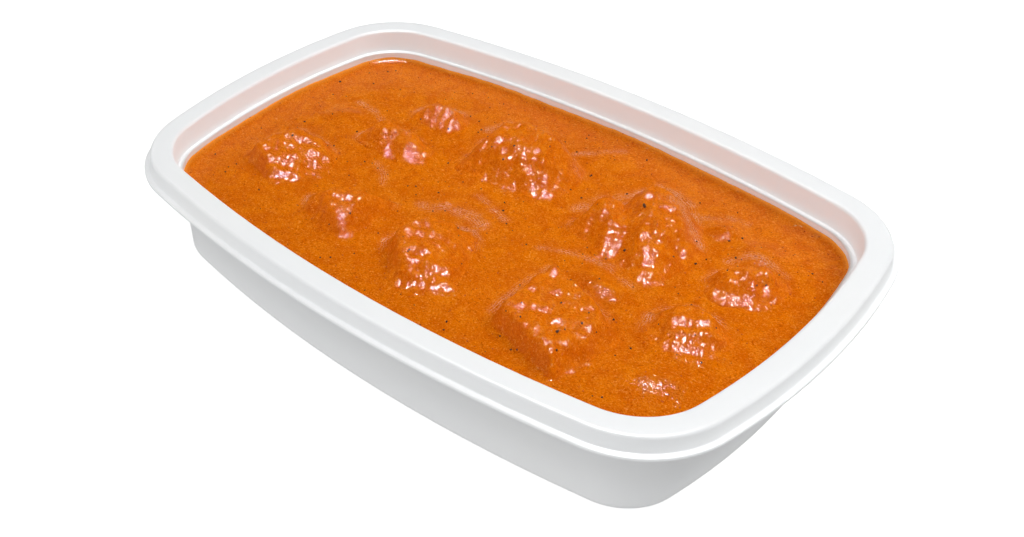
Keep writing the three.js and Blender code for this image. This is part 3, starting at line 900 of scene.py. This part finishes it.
# sauce
def gridShares(count, length):
    # count steps from 0 to 1, closer together near both walls for the meniscus
    edge = np.cumsum([0] + sauce["edgeSteps"]) / length
    middle = np.linspace(edge[-1], 1 - edge[-1], count - 2 * len(edge) + 3)
    return np.concatenate([edge[:-1], middle, 1 - edge[-2::-1]])


def boundaryTurns(start, stop, shares, inset):
    # directions that put points at the given shares of the outline between two of its normals
    turns = np.linspace(start, stop, 2000)
    x, y = outlinePoints(turns, inset)
    run = np.concatenate([[0], np.cumsum(np.hypot(np.diff(x), np.diff(y)))])
    return np.interp(shares * run[-1], run, turns)


def addSauce():
    columns, rows = sauce["columns"] // coarse, sauce["rows"] // coarse
    inset = insideWall(sauce["level"]) - sauce["intoWall"]
    c = (endTurn + sideTurn) / 2  # direction of the normal halfway round a corner
    pi = math.pi
    alongX = gridShares(columns, 2 * tray["openHalfLength"])
    alongY = gridShares(rows, 2 * tray["openHalfWidth"])
    frontTurns, backTurns, leftTurns, rightTurns = (
        boundaryTurns(start, stop, shares, inset) for start, stop, shares in (
            (pi + c, 2 * pi - c, alongX), (pi - c, c, alongX), (pi + c, pi - c, alongY),
            (-c, c, alongY)))
    s = alongX[None, :]
    t = alongY[:, None]
    plan = []
    front, back = outlinePoints(frontTurns, inset), outlinePoints(backTurns, inset)
    left, right = outlinePoints(leftTurns, inset), outlinePoints(rightTurns, inset)
    for k in range(2):
        f, b, le, r = front[k][None, :], back[k][None, :], left[k][:, None], right[k][:, None]
        corners = ((1 - s) * (1 - t) * f[0, 0] + s * (1 - t) * f[0, -1]
                   + (1 - s) * t * b[0, 0] + s * t * b[0, -1])
        plan.append((1 - t) * f + t * b + (1 - s) * le + s * r - corners)
    x, y = plan
    z = foodTop([], x, y)
    for name, blocks in chicken.items():
        distance, edge, _ = fromMiddle(name, x, y)
        near = distance < edge + meat["nearby"]
        top = foodTop([blocks], x[near], y[near])
        inside = edge[near] - distance[near]
        tucked = np.clip(inside, 0, sauce["underlap"])
        top = top - sauce["tuck"][0] * tucked - sauce["tuck"][1] * tucked ** 2
        share = np.minimum(distance[near] / (edge[near] + meat["underlap"]), 1)
        above, below = sauce["pocket"]
        pocket = -above - (meat["sunkDepth"] + below) * np.sqrt(1 - share ** 2)
        z[near] = np.where(inside > sauce["underlap"], np.minimum(top, pocket), top)
    z = z + sauce["level"]
    count = (rows + 1) * (columns + 1)
    points = np.stack([x.ravel(), y.ravel(), z.ravel()], 1).tolist()
    index = np.arange(count).reshape(rows + 1, columns + 1)
    quads = np.stack([index[:-1, :-1], index[:-1, 1:], index[1:, 1:], index[1:, :-1]], -1)
    faces = quads.reshape(-1, 4).tolist()
    # the sides follow the wall down, and round in to the floor
    loop = np.concatenate([index[0, :-1], index[:-1, -1], index[-1, :0:-1], index[:0:-1, 0]])
    turns = np.concatenate([frontTurns[:-1], rightTurns[:-1], backTurns[::-1][:-1], leftTurns[::-1][:-1]])
    floorRounding = tray["baseRounding"] - tray["wall"]
    levels = [(insideWall(z0) - sauce["intoWall"], z0) for z0 in sauce["sideLevels"]]
    levels += profileArc(insideWall(tray["wall"] + floorRounding) + floorRounding,
                         tray["wall"] + floorRounding, floorRounding, 180, 270, 4)
    previous = loop
    for levelInset, z0 in levels:
        px, py = outlinePoints(turns, levelInset)
        ring = np.arange(len(loop)) + len(points)
        points += np.stack([px, py, np.full_like(px, z0)], 1).tolist()
        after = np.roll(ring, -1)
        faces += np.stack([previous, ring, after, np.roll(previous, -1)], 1).tolist()
        previous = ring
    faces.append(previous[::-1].tolist())
    piece = newPiece("masala_sauce_body", points, faces, sauceMaterial)
    keepFolds(piece, x.ravel(), y.ravel())
    away = np.maximum(wallDistance(x, y), 0)
    keepValues(piece, "film", np.exp(-away / sauce["filmWidth"]).ravel())
    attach(piece, "root")
    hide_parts("sauce")
    print("sauce:", len(faces), "faces")


addSauce()

# pepper and spice
pepper = {
    # place as it is seen against the sauce's level, and size
    "seen": [(33, 35.5, 1.5), (42, 12, 1.3), (-67, 7, 0.7), (-94, -36, 0.7), (-96, 28, 0.9),
             (-47, 55, 0.7), (-40, 55, 0.7), (-58, 44, 0.6), (-17.5, 27, 0.8), (-20, 36, 0.8),
             (15.5, 26, 0.7), (62.5, 37, 0.8), (68.5, 31, 0.9), (89, 39, 0.8), (80.5, 44, 0.6),
             (45, 48.5, 0.8), (80, 23.5, 0.7), (70, 24, 0.7), (50, -32, 1.0), (43, -21, 0.7),
             (-34.5, -30, 0.9), (-42.5, -42, 0.6), (-25, -53, 0.7), (24, -50, 0.8),
             (73, -47, 0.7), (87.5, -33, 0.6), (-5, 58, 0.6), (-85, -5, 0.6), (-57, 11, 0.6),
             (-44, 29.5, 0.8), (51, -30, 0.7), (-8, 30, 0.5), (3, 12, 0.5), (20, 8, 0.5)],
    "strewn": 170,
    "strewnOver": (95, 58),  # half length and width of the field they are drawn from
    "draws": 400,
    "fromWall": 3.0,
    "strewnSize": (0.38, 0.80),
    "fine": 0.6,           # stones below this size have fewer faces
    "stretch": (0.6, 1.15),
    "knobs": 0.22,
    "highest": 14.0,       # how far up, and in what steps, the line of sight is searched
    "step": 0.15,
    "colour": "#442810",
    "seed": 5,
}
spice = {
    "perSquareMetre": 30000,
    "smallest": 0.14,
    "largest": 0.44,
    "upright": 0.3,        # only where the sauce's face is about level
    "deepest": 0.6,
    "colour": "#a24a08",
    "seed": 3,
}


def groundSpice(name, colour):
    # cracked peppercorn or ground chilli, sunk in the sauce: dark and dull
    material, tree = newMaterial(name)
    place = addNode(tree, "ShaderNodeTexCoord").outputs["Object"]
    crack = addNode(tree, "ShaderNodeTexNoise", {"Scale": 1 / (0.3 * mm)}, {"Vector": place})
    dark = linearColour(colour)
    pale = [c * 2.2 for c in dark[:3]] + [1.0]
    husk = addNode(tree, "ShaderNodeMix", {"data_type": "RGBA", 6: dark, 7: pale},
                   {0: crack.outputs["Fac"]})
    grit = addNode(tree, "ShaderNodeBsdfPrincipled", {"Roughness": 0.6, "Specular IOR Level": 0.1},
                   {"Base Color": husk.outputs[2]})
    addNode(tree, "ShaderNodeOutputMaterial", {}, {"Surface": grit})
    return material


def seenPlaces(x, y):
    # where the line from the camera to a place at the sauce's level first meets the food
    eye = np.array(view["target"]) + np.array(towardsCamera()) * view["distance"]
    found = np.zeros_like(x)
    for high in np.arange(0, pepper["highest"], pepper["step"]):
        f = high / (eye[2] - sauce["level"])
        top = wholeTop(x + (eye[0] - x) * f, y + (eye[1] - y) * f)
        found = np.where(top >= high, high, found)
    f = found / (eye[2] - sauce["level"])
    return x + (eye[0] - x) * f, y + (eye[1] - y) * f, sauce["level"] + found


def wholeTop(x, y):
    height = foodTop([], x, y)
    for name, blocks in chicken.items():
        distance, edge, _ = fromMiddle(name, x, y)
        near = distance < edge + meat["nearby"] / 2
        height = np.where(near, np.maximum(height, foodTop([blocks], x, y)), height)
    return height


def grainTree():
    # sets an uneven little stone, turned at random, on each point of the mesh it is given
    tree, sockets, given = openTree("strewn_grains", {
        "Geometry": "Geometry", "Density": "Float", "Smallest": "Float", "Largest": "Float",
        "Lowest Place": "Float", "Seed": "Int", "Material": "Material"})
    face = addNode(tree, "GeometryNodeInputNormal")
    up = addNode(tree, "ShaderNodeSeparateXYZ", {}, {0: face})
    spot = addNode(tree, "ShaderNodeSeparateXYZ", {},
                   {0: addNode(tree, "GeometryNodeInputPosition")})
    upward = addNode(tree, "ShaderNodeMath", {"operation": "GREATER_THAN", 1: spice["upright"]},
                     {0: up.outputs["Z"]})
    above = addNode(tree, "ShaderNodeMath", {"operation": "GREATER_THAN"},
                    {0: spot.outputs["Z"], 1: given["Lowest Place"]})
    both = addNode(tree, "ShaderNodeMath", {"operation": "MULTIPLY"},
                   {0: upward, 1: above})
    points = addNode(tree, "GeometryNodeDistributePointsOnFaces", {},
                     {"Mesh": given["Geometry"], "Selection": both,
                      "Density": given["Density"], "Seed": given["Seed"]})
    stone = addNode(tree, "GeometryNodeMeshIcoSphere", {"Radius": 0.5, "Subdivisions": 1})
    knobs = addNode(tree, "ShaderNodeTexNoise", {"Scale": 1.7})
    bulge = addNode(tree, "ShaderNodeVectorMath", {"operation": "SCALE"},
                    {0: addNode(tree, "GeometryNodeInputPosition"),
                     "Scale": knobs.outputs["Fac"]})
    uneven = addNode(tree, "GeometryNodeSetPosition", {},
                     {"Geometry": stone, "Offset": bulge})
    spin = addNode(tree, "FunctionNodeRandomValue",
                   {"data_type": "FLOAT_VECTOR", 0: (0, 0, 0), 1: (6.28, 6.28, 6.28)},
                   {"Seed": given["Seed"]})
    size = addNode(tree, "FunctionNodeRandomValue", {"data_type": "FLOAT"},
                   {2: given["Smallest"], 3: given["Largest"], "Seed": given["Seed"]})
    stones = addNode(tree, "GeometryNodeInstanceOnPoints", {},
                     {"Points": points, "Instance": uneven,
                      "Rotation": spin, "Scale": size.outputs[1]})
    closeTree(tree, stones, given["Material"])
    return tree, sockets


def addSpice():
    surface = bpy.data.objects["masala_sauce_body"].data.copy()
    values = {"Density": spice["perSquareMetre"], "Smallest": spice["smallest"] * mm,
              "Largest": spice["largest"] * mm, "Seed": spice["seed"],
              "Lowest Place": (sauce["level"] - spice["deepest"]) * mm,
              "Material": groundSpice("ground_chilli_flecks", spice["colour"])}
    piece = meshFromNodes("spice_flecks", *grainTree(), values, surface)
    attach(piece, "root")
    print("spice flecks:", len(piece.data.polygons), "faces")


def addPepper():
    # listed specks, then strewn ones, one uneven stone each
    rng = np.random.default_rng(pepper["seed"])
    seen = np.array(pepper["seen"], float)
    x, y, z = seenPlaces(seen[:, 0], seen[:, 1])
    sizes = list(seen[:, 2])
    wide, deep = pepper["strewnOver"]
    sx = rng.uniform(-wide, wide, pepper["draws"])
    sy = rng.uniform(-deep, deep, pepper["draws"])
    keep = np.flatnonzero(wallDistance(sx, sy) > pepper["fromWall"])[:pepper["strewn"]]
    sx, sy = sx[keep], sy[keep]
    sizes += list(rng.uniform(*pepper["strewnSize"], len(keep)))
    places = np.concatenate([np.stack([x, y, z], 1),
                             np.stack([sx, sy, sauce["level"] + wholeTop(sx, sy)], 1)])
    stone = bmesh.new()
    for place, size in zip(places, sizes):
        detail = 2 if size > pepper["fine"] else 1
        made = bmesh.ops.create_icosphere(stone, subdivisions=detail, radius=size / 2 * mm)["verts"]
        stretch = rng.uniform(*pepper["stretch"], 3)
        turn = Matrix.Rotation(rng.uniform(0, 6.28), 3, Vector(rng.normal(size=3)))
        for vertex in made:
            wave = (9 * vertex.co.x + 5 * vertex.co.z) / (size * mm)
            knob = 1 + pepper["knobs"] * math.sin(wave)
            vertex.co = turn @ Vector([vertex.co[i] * stretch[i] * knob for i in range(3)])
            vertex.co += Vector(place) * mm
    mesh = bpy.data.meshes.new("pepper_specks")
    stone.to_mesh(mesh)
    stone.free()
    piece = finishMesh(mesh, groundSpice("cracked_black_pepper", pepper["colour"]))
    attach(piece, "root")
    print("pepper:", len(places), "specks")


addSpice()
addPepper()
